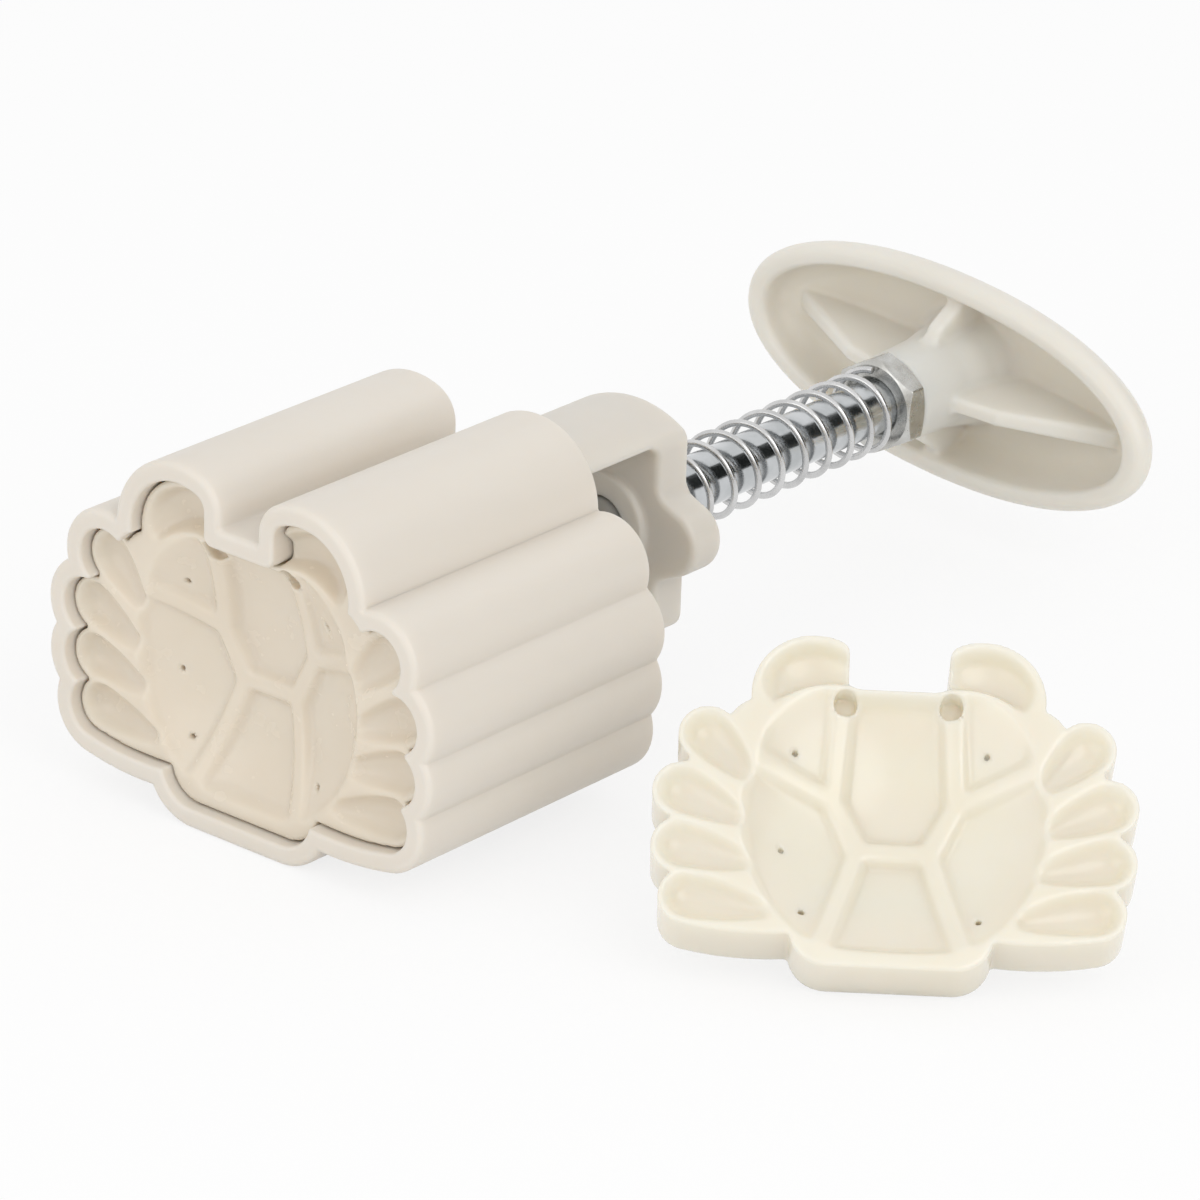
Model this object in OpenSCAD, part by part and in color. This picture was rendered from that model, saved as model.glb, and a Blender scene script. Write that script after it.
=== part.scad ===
// Mooncake press: a crab-shaped mould sleeve on a guide frame, a sprung plunger with
// its crab stamp, an oval palm handle, and a second stamp that lies beside it.
// Millimetres. +Y runs from the mouth of the mould to the handle, +Z is the crab's top.
// It lies on its belly, and the origin is the middle of the belly's flat underside.

/* [Crab outline] */
// Half width from the mirror plane to the centre of the belly's round corner
belly_half = 8; // [7:0.1:9]
// Radius of the belly's round corners
belly_r = 4.9; // [4.5:0.1:5.3]
// Height of the belly's corner centres below the middle of the crab
belly_drop = 17.8; // [17.4:0.1:18.6]
// Radius of the rounded tips of the four legs on each side
leg_r = 3.8; // [3.75:0.05:4.2]
// Distance from the mirror plane to the tip centre of the widest leg
leg_reach = 27; // [26:0.1:28]
// Radius of the hollow corner between two legs
leg_notch_r = 0.32; // [0.3:0.02:0.5]
// Radius of the shoulder between a claw and the first leg
shoulder_r = 5; // [4.9:0.05:5.3]
// Radius of the round back of a claw
claw_r = 8; // [7.6:0.1:8.4]
// Radius of the tip of a claw
claw_tip_r = 1.9; // [1.6:0.1:2.2]
// Height of the forehead between the claws above the middle of the crab
forehead_h = 15; // [14:0.1:15.4]
// Radius of the hollow corner between forehead and claw
forehead_fillet = 1.8; // [1:0.1:2.2]

/* [Mould sleeve] */
// Length of the sleeve from its mouth to its back
sleeve_len = 47; // [44:0.5:60]
// Thickness of the sleeve's wall
sleeve_wall = 2.8; // [2:0.1:3.5]
// Thickness of the sleeve's back wall
back_wall = 3; // [2.5:0.1:4]
// Gap all round between the stamp and the sleeve
stamp_gap = 0.3; // [0.2:0.05:0.5]
// Height of the plunger's axis above the lowest point of the sleeve
axis_h = 24; // [23:0.1:25]

/* [Guide frame] */
// Length of the guide frame behind the sleeve
frame_len = 34; // [30:0.5:45]
// Radius of the frame's two arches about the plunger's axis
arch_r = 16.9; // [16.5:0.05:18]
// Thickness of each arch at its middle
arch_t = 3.4; // [3.2:0.1:4.4]
// Width of the frame across its flat sides
frame_w = 18.8; // [17.6:0.1:20]
// Radius of the rounded edge between an arch and a flat side
arch_edge_r = 2.2; // [1:0.1:3]
// Thickness of the frame's front plate
front_plate_t = 3; // [2.5:0.1:4]
// Thickness of the frame's rear plate
rear_plate_t = 6.4; // [5.5:0.1:9]
// Radius of the guide boss in front of the rear plate
boss_r = 7.5; // [6:0.1:9]
// How far the guide boss stands in front of the rear plate
boss_len = 1; // [0.5:0.1:4]
// Distance from the plunger's axis to the tip of a finger ear
ear_reach = 16.2; // [15:0.1:20]
// Half height of a finger ear where it leaves the frame
ear_root = 6.3; // [5.6:0.1:7.5]
// Radius of a finger ear's rounded tip
ear_r = 5; // [4:0.1:5.5]

/* [Frame screws] */
// Radius of a frame screw's shank
screw_r = 1.2; // [1:0.05:1.3]
// Radius of a frame screw's head
screw_head_r = 2; // [1.8:0.05:2.1]
// Height of a frame screw's head
screw_head_h = 1.4; // [1:0.1:2]
// Length of a frame screw under its head
screw_len = 13; // [9:0.5:16]
// Distance of each frame screw from the plunger's axis
screw_at = 15; // [14.9:0.05:15.1]

/* [Plunger] */
// Radius of the steel rod
rod_r = 4; // [3.6:0.05:4.3]
// Running gap between the rod and the guide frame
rod_gap = 0.08; // [0.03:0.01:0.1]
// Gap between the rod and the sleeve's back wall
wall_hole_gap = 0.6; // [0.3:0.1:1]
// Gap between threaded pieces and what they sit in
thread_gap = 0.02; // [0.01:0.01:0.05]
// Distance from the mouth to the face of the stamp at rest
stamp_set_back = 1.8; // [0.5:0.1:6]
// Width across the flats of the hexagon nut
nut_flats = 13; // [12:0.1:14]
// Thickness of the hexagon nut
nut_t = 4; // [3:0.1:6]

/* [Spring] */
// Diameter of the spring's wire
wire_d = 1; // [0.8:0.05:1.1]
// Outer diameter of the spring
spring_od = 12.4; // [11:0.1:12.5]
// Turns of the spring
spring_turns = 11; // [8:0.5:12.5]
// Length of the spring at rest
spring_len = 53; // [48:0.5:70]
// Thickness of the washer between spring and frame
washer_t = 1; // [0.8:0.1:1.6]
// Radius of that washer
washer_r = 7.4; // [6.5:0.1:8.5]

/* [Stamp] */
// Thickness of the stamp's block
stamp_t = 10; // [9.6:0.1:12]
// Depth of the belly bowl at its middle
bowl_depth = 6.6; // [5.5:0.1:7]
// Radius of the belly bowl where it meets the stamp's face
bowl_mouth_r = 20.5; // [19.5:0.1:21.5]
// Height of the ribs above the bowl
rib_h = 1.4; // [0.8:0.1:2]
// Width of the ribs
rib_w = 1.4; // [1:0.1:1.8]
// Radius of the round pits that are the eyes
eye_r = 1.5; // [1.2:0.1:1.6]
// Radius of the air vents through the stamp
vent_r = 0.4; // [0.35:0.05:0.6]
// Length of the boss on the stamp's back
stamp_boss_len = 12; // [10:0.5:14]
// Radius of that boss
stamp_boss_r = 8; // [7:0.1:9]
// Radius of the threaded inserts
insert_r = 5.2; // [5:0.1:5.4]
// Depth of the hollow in the stamp's back
pocket_depth = 4.6; // [3:0.1:4.8]

/* [Handle] */
// Half width of the handle
handle_a = 36.8; // [34:0.1:42]
// Half height of the handle
handle_b = 15.8; // [15.6:0.1:18]
// Depth of the handle from its widest line to its back
handle_dome = 9.6; // [9.2:0.1:13]
// Radius of the handle's rounded rim
rim_r = 2; // [1.5:0.1:2.2]
// Width of the handle's rim at its two ends, from its outside to the hollow
rim_w = 3.7; // [3.4:0.1:4.4]
// Width of the handle's rim at its two long sides
rim_side_w = 2.9; // [2.7:0.1:3.6]
// Distance from the front of the hub to the widest line of the handle
hub_stand = 13.4; // [12:0.1:17]
// Radius of the hub behind the nut
hub_r = 6.6; // [6.4:0.1:7.4]
// Thickness of the ribs between hub and rim
gusset_t = 2.4; // [1.8:0.1:3.2]
// Thickness of the handle's floor at its middle
handle_floor = 3.6; // [3:0.1:5]
// Angle at which the handle stands turned on the rod
handle_turn = -6; // [-8:0.5:8]

/* [Loose stamp] */
// Sideways place of the loose stamp beside the press
loose_x = 83; // [75:0.5:110]
// Place of the loose stamp along the press
loose_y = 9.5; // [-20:0.5:40]
// Direction in which the loose stamp faces, from straight ahead
loose_turn = 38; // [0:1:60]

/* [Hidden] */
$fn = 96;
ARC_STEP = 10;         // degrees between the points of an outline's round stretch
SKIN = 1;              // how far a cut runs past the face that it opens

// Places along the plunger's axis, counted from the mouth of the mould.
mouth_y = -sleeve_len / 2;
sleeve_back = sleeve_len - back_wall;
frame_back = sleeve_len + frame_len;
plate_front = frame_back - rear_plate_t;
spring_front = frame_back + washer_t;
nut_front = spring_front + spring_len;
hub_front = nut_front + nut_t;
rim_line = hub_front + hub_stand;
handle_back = rim_line + handle_dome;

// Heights.
crab_low = -belly_drop - belly_r;
sleeve_grow = stamp_gap + sleeve_wall;
crab_mid_h = sleeve_grow - crab_low;
rod_v = axis_h - crab_mid_h;

// The rod's reach into the two inserts.
stamp_back = stamp_set_back + stamp_t;
stamp_end = stamp_back + stamp_boss_len;
insert_len = 10;
rod_front = stamp_end - insert_len + 0.5;
handle_insert_len = 12;
rod_back = hub_front + handle_insert_len - 0.5;

// Round stretches of the crab's outline as [x, z, radius], from the belly up to the claw,
// measured from the middle of the crab on its right-hand half.
LEG_ROW = 7.25;        // spacing of the legs' tip centres
BELLY = [belly_half, -belly_drop, belly_r];
LEG_4 = [leg_reach - 1.3, -2 * LEG_ROW + 0.4, leg_r];
// The last leg's lower edge is nearly straight: a wide arc that the leg's tip runs into.
FLANK_R = 45;
FLANK_TURN = -78;
FLANK = [
  LEG_4.x - (FLANK_R - leg_r) * cos(FLANK_TURN),
  LEG_4.y - (FLANK_R - leg_r) * sin(FLANK_TURN), FLANK_R];
LEG_3 = [leg_reach - 0.1, -LEG_ROW, leg_r];
LEG_2 = [leg_reach, 0.2, leg_r];
LEG_1 = [leg_reach - 3, LEG_ROW + 0.75, leg_r];
SHOULDER = [leg_reach - 10.15, LEG_ROW + 1.1, shoulder_r];
CLAW = [claw_r + 2.75, forehead_h - 0.8, claw_r];
CLAW_SIDE_X = 6.4;     // inner side of a claw
tip_x = CLAW_SIDE_X + claw_tip_r;
tip_rise = sqrt(pow(claw_r - claw_tip_r, 2) - pow(CLAW.x - tip_x, 2));
CLAW_TIP = [tip_x, CLAW.y + tip_rise, claw_tip_r];

ROUNDS = [BELLY, FLANK, LEG_4, LEG_3, LEG_2, LEG_1, SHOULDER, CLAW, CLAW_TIP];
// How each stretch reaches the next: along a shared tangent, or through a hollow corner of
// the radius given here.
ALONG_TANGENT = -1;
JOINS = [
  leg_notch_r, ALONG_TANGENT, leg_notch_r, leg_notch_r, 2 * leg_notch_r, leg_notch_r,
  leg_notch_r, ALONG_TANGENT];

function turned(v) = [v.y, -v.x];
function unit(v) = v / norm(v);
function flat2(c) = [c.x, c.y];
function angle_of(v) = atan2(v.y, v.x);

// Centre of the hollow corner between circles a and b, both grown, on their outer side.
function notch(a, b, grow, hollow) =
  let (
    way = flat2(b) - flat2(a), far = norm(way),
    ra = a[2] + grow + hollow, rb = b[2] + grow + hollow,
    along = (far * far + ra * ra - rb * rb) / (2 * far),
    out = sqrt(ra * ra - along * along))
  flat2(a) + unit(way) * along + turned(unit(way)) * out;

// Direction of the outer tangent's normal from circle a to circle b.
function tangent_angle(a, b) =
  let (way = flat2(b) - flat2(a), lean = asin(min(1, (a[2] - b[2]) / norm(way))))
  angle_of(turned(unit(way)) * cos(lean) + unit(way) * sin(lean));

// Points of an arc about c from angle a0 to angle a1, both ends included.
function arc(c, r, a0, a1, step = ARC_STEP) =
  let (n = ceil(abs(a1 - a0) / step))
  [for (k = [0 : n]) let (a = a0 + (a1 - a0) * k / max(1, n)) flat2(c) + r * [cos(a), sin(a)]];

function join_corner(i, grow) = notch(ROUNDS[i], ROUNDS[i + 1], grow, max(0, JOINS[i] - grow));
function leave_angle(i, grow) =
  JOINS[i] == ALONG_TANGENT
  ? tangent_angle(ROUNDS[i], ROUNDS[i + 1])
  : angle_of(join_corner(i, grow) - flat2(ROUNDS[i]));
function arrive_angle(i, grow) =
  JOINS[i - 1] == ALONG_TANGENT
  ? tangent_angle(ROUNDS[i - 1], ROUNDS[i])
  : angle_of(join_corner(i - 1, grow) - flat2(ROUNDS[i]));

// Points of the hollow corner after stretch i, between its two ends.
function hollow_points(i, grow) =
  let (hollow = JOINS[i] - grow, mid = join_corner(i, grow))
  JOINS[i] == ALONG_TANGENT || hollow <= 0.02 ? []
  : let (
      a0 = angle_of(flat2(ROUNDS[i]) - mid),
      a1 = angle_of(flat2(ROUNDS[i + 1]) - mid),
      turn = a1 > a0 ? a1 - a0 - 360 : a1 - a0)
    [for (t = [0.25 : 0.25 : 0.75]) mid + hollow * [cos(a0 + turn * t), sin(a0 + turn * t)]];

// Right half of the crab's outline, from the belly's middle to the forehead's middle.
function half_outline(grow) =
  let (
    last = len(ROUNDS) - 1,
    fillet = max(0, forehead_fillet - grow),
    side_x = CLAW_SIDE_X - grow,
    top = forehead_h + grow)
  concat(
    [for (i = [0 : last])
      let (
        a0 = i == 0 ? -90 : arrive_angle(i, grow),
        a1 = i == last ? 180 : leave_angle(i, grow),
        swing = a1 < a0 - 180 ? a1 + 360 : max(a0, a1))
      each concat(
        arc(ROUNDS[i], ROUNDS[i][2] + grow, a0, swing),
        i == last ? [] : hollow_points(i, grow))],
    fillet > 0
      ? arc([side_x - fillet, top + fillet], fillet, 0, -90, 18)
      : [[side_x, top]]);

function mirrored(points) = [for (i = [len(points) - 1 : -1 : 0]) [-points[i].x, points[i].y]];

// The crab's outline, grown on all sides.
module crab(grow = 0) {
  half = half_outline(grow);
  polygon(concat(half, mirrored(half)));
}

// Puts a flat shape's x and y on X and Z, and its height on +Y.
module along_y() {
  rotate([90, 0, 0]) mirror([0, 0, 1]) children();
}

// The same about the plunger's axis, from a place behind the mouth.
module on_axis(place = 0) {
  translate([0, mouth_y + place, axis_h]) along_y() children();
}

// The same about the middle of the crab.
module on_crab(place = 0) {
  translate([0, mouth_y + place, crab_mid_h]) along_y() children();
}

// ---- mould sleeve ----
module mould_sleeve() {
  color("ivory") difference() {
    on_crab() linear_extrude(sleeve_len) crab(sleeve_grow);
    on_crab(-SKIN) linear_extrude(sleeve_back + SKIN) crab(stamp_gap);
    on_axis(sleeve_back - SKIN) cylinder(h = back_wall + 2 * SKIN, r = rod_r + wall_hole_gap);
    for (side = [-1, 1])
      on_axis(sleeve_back - SKIN) translate([0, side * screw_at])
        cylinder(h = back_wall + 2 * SKIN, r = screw_r + 0.2);
  }
}

// ---- guide frame ----
// Outline of the frame: two arches about the axis, joined by flat sides.
function frame_outline() =
  let (
    x = frame_w / 2 - arch_edge_r,
    z = sqrt(pow(arch_r - arch_edge_r, 2) - x * x),
    a = atan2(z, x))
  concat(
    arc([x, z], arch_edge_r, 0, a),
    arc([0, 0], arch_r, a, 180 - a, 4),
    arc([-x, z], arch_edge_r, 180 - a, 180),
    arc([-x, -z], arch_edge_r, 180, 180 + a),
    arc([0, 0], arch_r, 180 + a, 360 - a, 4),
    arc([x, -z], arch_edge_r, 360 - a, 360));

// One finger ear, from inside the frame to its rounded tip.
function ear_outline() =
  concat(
    [[0, ear_root], [frame_w / 2, ear_root]],
    arc([ear_reach - ear_r, 0], ear_r, 75, -75),
    [[frame_w / 2, -ear_root], [0, -ear_root]]);

window_half = arch_r - arch_t;
window_len = plate_front - sleeve_len - front_plate_t;

module guide_frame() {
  color("ivory") difference() {
    union() {
      difference() {
        on_axis(sleeve_len) linear_extrude(frame_len) polygon(frame_outline());
        on_axis(sleeve_len + front_plate_t) translate([-arch_r, -window_half, 0])
          cube([2 * arch_r, 2 * window_half, window_len]);
      }
      on_axis(plate_front - boss_len) cylinder(h = boss_len + SKIN, r = boss_r);
      for (side = [0, 1])
        on_axis(plate_front) mirror([side, 0, 0])
          linear_extrude(rear_plate_t) polygon(ear_outline());
    }
    on_axis(sleeve_len - SKIN) cylinder(h = front_plate_t + 2 * SKIN, r = rod_r + wall_hole_gap);
    on_axis(plate_front - boss_len - SKIN)
      cylinder(h = rear_plate_t + boss_len + 2 * SKIN, r = rod_r + rod_gap);
    for (side = [-1, 1])
      on_axis(sleeve_len - SKIN) translate([0, side * screw_at])
        cylinder(h = screw_len - back_wall + SKIN + 0.5, r = screw_r + thread_gap);
  }
}

// Two self-tapping screws that hold the frame to the sleeve's back wall.
module frame_screws() {
  color("silver") for (side = [-1, 1])
    on_axis(sleeve_back - screw_head_h) translate([0, side * screw_at]) difference() {
      union() {
        cylinder(h = screw_head_h, r = screw_head_r);
        cylinder(h = screw_head_h + screw_len, r = screw_r);
      }
      for (turn = [0, 90]) rotate(turn)
        translate([-1.2, -0.25, -SKIN]) cube([2.4, 0.5, SKIN + 0.7]);
    }
}

// ---- plunger ----
module plunger_rod() {
  chamfer = 0.6;
  body = rod_back - rod_front - 2 * chamfer;
  color("silver") on_axis(rod_front) rotate_extrude() polygon([
    [0, 0], [rod_r - chamfer, 0], [rod_r, chamfer], [rod_r, chamfer + body],
    [rod_r - chamfer, 2 * chamfer + body], [0, 2 * chamfer + body]]);
}

module spring_nut() {
  corner_r = nut_flats / 2 / cos(30);
  bevel = 0.5;
  color("silver") on_axis(nut_front) difference() {
    intersection() {
      rotate(90) cylinder(h = nut_t, r = corner_r, $fn = 6);
      rotate_extrude() polygon([
        [0, 0], [corner_r - bevel, 0], [corner_r + bevel, 2 * bevel],
        [corner_r + bevel, nut_t - 2 * bevel], [corner_r - bevel, nut_t], [0, nut_t]]);
    }
    translate([0, 0, -SKIN]) cylinder(h = nut_t + 2 * SKIN, r = rod_r + thread_gap);
  }
}

module spring_washer() {
  color("silver") on_axis(frame_back) difference() {
    cylinder(h = washer_t, r = washer_r);
    translate([0, 0, -SKIN]) cylinder(h = washer_t + 2 * SKIN, r = rod_r + 0.3);
  }
}

// ---- return spring ----
RINGS_PER_TURN = 8;
WIRE_SIDES = 6;
OPENING_TURN = 0.5;    // turn at which the close first coil starts to open
OPENING_TURNS = 1.2;   // turns that it takes to open
DRAWING_TURNS = 4;     // last turns, which draw together towards the nut
spring_r = (spring_od - wire_d) / 2;
closed_pitch = wire_d + 0.6;
open_pitch = 5.4;
nut_pitch = 3.6;
wire_rings = spring_turns * RINGS_PER_TURN;
coil_len = spring_len - 2 * wire_d;

function smooth(t) = let (s = max(0, min(1, t))) s * s * (3 - 2 * s);
function pitch_at(turn) =
  let (
    drawn = smooth((turn - spring_turns) / DRAWING_TURNS + 1),
    wide = open_pitch + (nut_pitch - open_pitch) * drawn)
  closed_pitch + (wide - closed_pitch) * smooth((turn - OPENING_TURN) / OPENING_TURNS);
// Heights of the rings along the coil before they are fitted to its length.
RISES = [for (i = 0, h = 0; i <= wire_rings; h = h + pitch_at((i + 0.5) / RINGS_PER_TURN), i = i + 1) h];
// The coil turns clockwise as it goes back, seen from the mouth, and ends at the top.
function coil_point(i) =
  let (a = 90 - 360 * (i - wire_rings) / RINGS_PER_TURN)
  [spring_r * cos(a), wire_d + coil_len * RISES[i] / RISES[wire_rings], spring_r * sin(a)];
COIL = [for (i = [0 : wire_rings]) coil_point(i)];
WIRE_PATH = concat(
  [COIL[0] - [0, wire_d, 0]], COIL, [COIL[wire_rings] + [0, wire_d, 0]]);

function direction(path, i) =
  i == 0 ? unit(path[1] - path[0])
  : i == len(path) - 1 ? unit(path[i] - path[i - 1])
  : unit(unit(path[i + 1] - path[i]) + unit(path[i] - path[i - 1]));
// How much a ring widens across a bend, so that the wire keeps its thickness.
function bend_gain(path, i) =
  i == 0 || i == len(path) - 1 ? 1
  : 1 / (direction(path, i) * unit(path[i + 1] - path[i]));
// Ring of the wire at point i: side 0 points away from the coil's axis.
function wire_ring(path, i) =
  let (
    p = path[i], d = direction(path, i),
    out = unit([p.x, 0, p.z] - (([p.x, 0, p.z] * d) * d)),
    side = cross(d, out),
    gain = bend_gain(path, i), r = wire_d / 2)
  [for (k = [0 : WIRE_SIDES - 1])
    let (a = 360 * k / WIRE_SIDES)
    p + r * (cos(a) * out + sin(a) * gain * side)];

module swept(path) {
  n = len(path);
  s = WIRE_SIDES;
  polyhedron(
    points = [for (i = [0 : n - 1]) each wire_ring(path, i)],
    faces = concat(
      [for (k = [1 : s - 2]) [0, k + 1, k]],
      [for (i = [0 : n - 2], k = [0 : s - 1])
        let (a = i * s + k, b = i * s + (k + 1) % s) each [[a, b, b + s], [a, b + s, a + s]]],
      [for (k = [1 : s - 2]) let (a = (n - 1) * s) [a, a + k, a + k + 1]]));
}

module return_spring() {
  color("gainsboro") translate([0, mouth_y + spring_front, axis_h]) swept(WIRE_PATH);
}

// Least gap between turns that lie one turn or more apart, less the wire's thickness.
least_gap = min([for (i = [0 : wire_rings - RINGS_PER_TURN])
  norm(COIL[i + RINGS_PER_TURN] - COIL[i]) - wire_d]);
echo(spring_least_gap_mm = least_gap);

// ---- crab stamp ----
// Ways to draw on the stamp: x and z are measured from the middle of the crab, and depth
// from the stamp's face.
BOWL_Z = -2.5;         // middle of the belly bowl
bowl_r = (bowl_mouth_r * bowl_mouth_r + bowl_depth * bowl_depth) / (2 * bowl_depth);
EYE_X = 6.75;
EYE_Z = 13.45;
SIDE_MID = [8.6, 6.4]; // middle of the round field under a claw
SIDE_R = 8.7;
half_rib = rib_w / 2;
ELBOW = [8, 1.3];      // where the ribs down from an eye turn inwards
KNEE = [4.4, -5.6];    // where they meet the cross rib
SIDE_END = [18.6, 6.5];
BELLY_END = [9.4, -21.8];

// Fields between the ribs: right halves of those that cross the mirror plane, and whole
// outlines of those beside it.
FACE_HALF = [
  [EYE_X - eye_r, EYE_Z + 0.6], [EYE_X - half_rib, EYE_Z - 2],
  [ELBOW.x - half_rib - 0.6, ELBOW.y], [KNEE.x - half_rib, KNEE.y + rib_w]];
BELLY_HALF = [
  [KNEE.x - half_rib, KNEE.y - half_rib], [BELLY_END.x - rib_w, BELLY_END.y + 1.4]];
BOWL_HALF = [
  [EYE_X + 1, 14.4], [SIDE_END.x - 1.2, SIDE_END.y + 1.5], [19.8, 4], [19.8, -4],
  [18.8, -10.2], [16.1, -15.6], [BELLY_END.x + 2.4, -19.8], [BELLY_END.x - 1, -20.9]];
CHEEK = [
  [ELBOW.x + half_rib, ELBOW.y + 1.3], [SIDE_END.x, SIDE_END.y], [SIDE_END.x, 16],
  [EYE_X + 2 * half_rib, 16], [EYE_X + 2 * half_rib, EYE_Z - 2]];
FLANK_FIELD = [
  [ELBOW.x + half_rib, ELBOW.y - half_rib], [SIDE_END.x - 0.8, SIDE_END.y - 2.4],
  [19.4, 0], [19.4, -4], [18.4, -10], [15.8, -15.2], [BELLY_END.x + 2.2, -19.2],
  [BELLY_END.x + 0.4, -19.6], [KNEE.x + rib_w, KNEE.y - half_rib], [KNEE.x + rib_w, KNEE.y]];

module across(half) {
  polygon(concat(half, mirrored(half)));
}

// Part of a ball that dips to a depth below the stamp's face, under an outline.
module dip(depth, mouth_r) {
  ball_r = (mouth_r * mouth_r + depth * depth) / (2 * depth);
  intersection() {
    translate([0, 0, -SKIN]) linear_extrude(stamp_t) union() children();
    translate([0, BOWL_Z, depth - ball_r]) sphere(ball_r, $fn = 128);
  }
}

// Scoop of a leg: a trough with a round end in the leg's tip, open towards the face.
SCOOP_R = 3;
SCOOP_RISE = 0.7;      // how far the trough's axis lies in front of the stamp's face
module leg_scoop(tip, root) {
  way = root - flat2(tip);
  translate([tip.x, tip.y, -SCOOP_RISE]) {
    sphere(SCOOP_R);
    rotate(angle_of(way)) rotate([0, 90, 0])
      cylinder(h = norm(way), r1 = SCOOP_R - 0.06, r2 = SCOOP_R + 0.1);
  }
}
SCOOPS = [
  [LEG_1, [20.1, 3.9]], [LEG_2, [21.1, -2.6]], [LEG_3, [20.1, -8.9]], [LEG_4, [17.8, -15.5]]];

// Scoop of a claw: a crescent between the claw's back and the field beside the eye.
CLAW_SCOOP_DEPTH = 3.2;
CLAW_WALL = 1;
module claw_scoop() {
  ball_r = 8.4;
  difference() {
    intersection() {
      translate([CLAW.x, CLAW.y, -SKIN]) cylinder(h = stamp_t, r = claw_r - CLAW_WALL);
      translate([CLAW.x + 0.4, CLAW.y + 2.6, CLAW_SCOOP_DEPTH - ball_r]) sphere(ball_r);
    }
    translate([SIDE_MID.x, SIDE_MID.y, -2 * SKIN]) cylinder(h = stamp_t + SKIN, r = SIDE_R + 0.5);
  }
}

// Air vents, as places on the stamp.
VENTS = [[-12.9, 6.9], [11.5, 7.7], [-14.2, -6.3], [-11.4, -14.9], [11, -15.2]];

module stamp_relief() {
  dip(bowl_depth - rib_h, bowl_mouth_r - 1) across(BOWL_HALF);
  dip(bowl_depth, bowl_mouth_r) {
    across(FACE_HALF);
    across(BELLY_HALF);
    for (side = [0, 1]) mirror([side, 0, 0]) {
      polygon(FLANK_FIELD);
      intersection() {
        polygon(CHEEK);
        translate([SIDE_MID.x, SIDE_MID.y]) circle(SIDE_R);
      }
    }
  }
  for (side = [0, 1]) mirror([side, 0, 0]) {
    for (scoop = SCOOPS) leg_scoop(scoop[0], scoop[1]);
    claw_scoop();
    translate([EYE_X, EYE_Z, -SKIN]) cylinder(h = bowl_depth / 2 + SKIN, r = eye_r);
  }
  for (at = VENTS) translate([at.x, at.y, -SKIN]) cylinder(h = stamp_t + 2 * SKIN, r = vent_r, $fn = 24);
}

// Hollow in the stamp's back, round its boss and under the dome of the bowl.
POCKET_X = 17;
POCKET_TOP = 8.6;
POCKET_LOW = -14.6;
module stamp_pocket() {
  difference() {
    translate([0, 0, stamp_t - pocket_depth]) linear_extrude(pocket_depth + SKIN)
      polygon([
        [-POCKET_X, POCKET_LOW + 3], [-POCKET_X + 3, POCKET_LOW], [POCKET_X - 3, POCKET_LOW],
        [POCKET_X, POCKET_LOW + 3], [POCKET_X, POCKET_TOP - 3], [POCKET_X - 3, POCKET_TOP],
        [-POCKET_X + 3, POCKET_TOP], [-POCKET_X, POCKET_TOP - 3]]);
    translate([0, BOWL_Z, bowl_depth - bowl_r]) sphere(bowl_r + 1.8, $fn = 128);
    translate([0, rod_v, 0]) cylinder(h = stamp_t + 2 * SKIN, r = stamp_boss_r);
  }
}

// The stamp, drawn with its face at height 0 and its boss upwards.
module stamp_body() {
  difference() {
    union() {
      linear_extrude(stamp_t) crab();
      translate([0, rod_v, stamp_t - SKIN]) cylinder(h = stamp_boss_len + SKIN, r = stamp_boss_r);
    }
    stamp_relief();
    stamp_pocket();
    translate([0, rod_v, stamp_t + stamp_boss_len - insert_len])
      cylinder(h = insert_len + SKIN, r = insert_r + thread_gap);
  }
}

// A threaded insert of a given length, open at both ends.
module insert_body(length) {
  difference() {
    cylinder(h = length, r = insert_r);
    translate([0, 0, -SKIN]) cylinder(h = length + 2 * SKIN, r = rod_r + thread_gap);
  }
}

module press_stamp() {
  color("antiquewhite") on_crab(stamp_set_back) stamp_body();
}

module stamp_insert() {
  color("goldenrod") on_axis(stamp_end - insert_len) insert_body(insert_len);
}

// The loose stamp leans back on its belly's edge and the rim of its boss.
lean = atan2(stamp_boss_len, rod_v - stamp_boss_r - crab_low);
loose_lift = stamp_t * cos(lean) - crab_low * sin(lean);
module beside_press() {
  translate([loose_x, loose_y, loose_lift]) rotate([0, 0, loose_turn])
    rotate([lean - 90, 0, 0]) children();
}

module loose_stamp() {
  color("antiquewhite") beside_press() along_y() stamp_body();
}

module loose_stamp_insert() {
  color("goldenrod") beside_press() along_y()
    translate([0, rod_v, stamp_t + stamp_boss_len - insert_len]) insert_body(insert_len);
}

// ---- handle ----
OVAL_POINTS = 56;
OVAL_POWER = 2.12;     // a little squarer than an ellipse
function signed_pow(v, p) = sign(v) * pow(abs(v), p);
function oval(a, b, h) = [for (k = [0 : OVAL_POINTS - 1])
  let (t = 360 * k / OVAL_POINTS)
  [a * signed_pow(cos(t), 2 / OVAL_POWER), b * signed_pow(sin(t), 2 / OVAL_POWER), h]];

// Closed skin through a stack of ovals [half width, half height, height].
module loft(layers) {
  n = OVAL_POINTS;
  last = len(layers) - 1;
  polyhedron(
    points = [for (s = layers) each oval(s[0], s[1], s[2])],
    faces = concat(
      [[for (k = [0 : n - 1]) k]],
      [for (i = [0 : last - 1], k = [0 : n - 1])
        let (a = i * n + k, b = i * n + (k + 1) % n) each [[a, a + n, b + n], [a, b + n, b]]],
      [[for (k = [n - 1 : -1 : 0]) last * n + k]]));
}

// Heights in the handle are measured back from its widest line.
handle_inner_floor = handle_dome - handle_floor;
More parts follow.
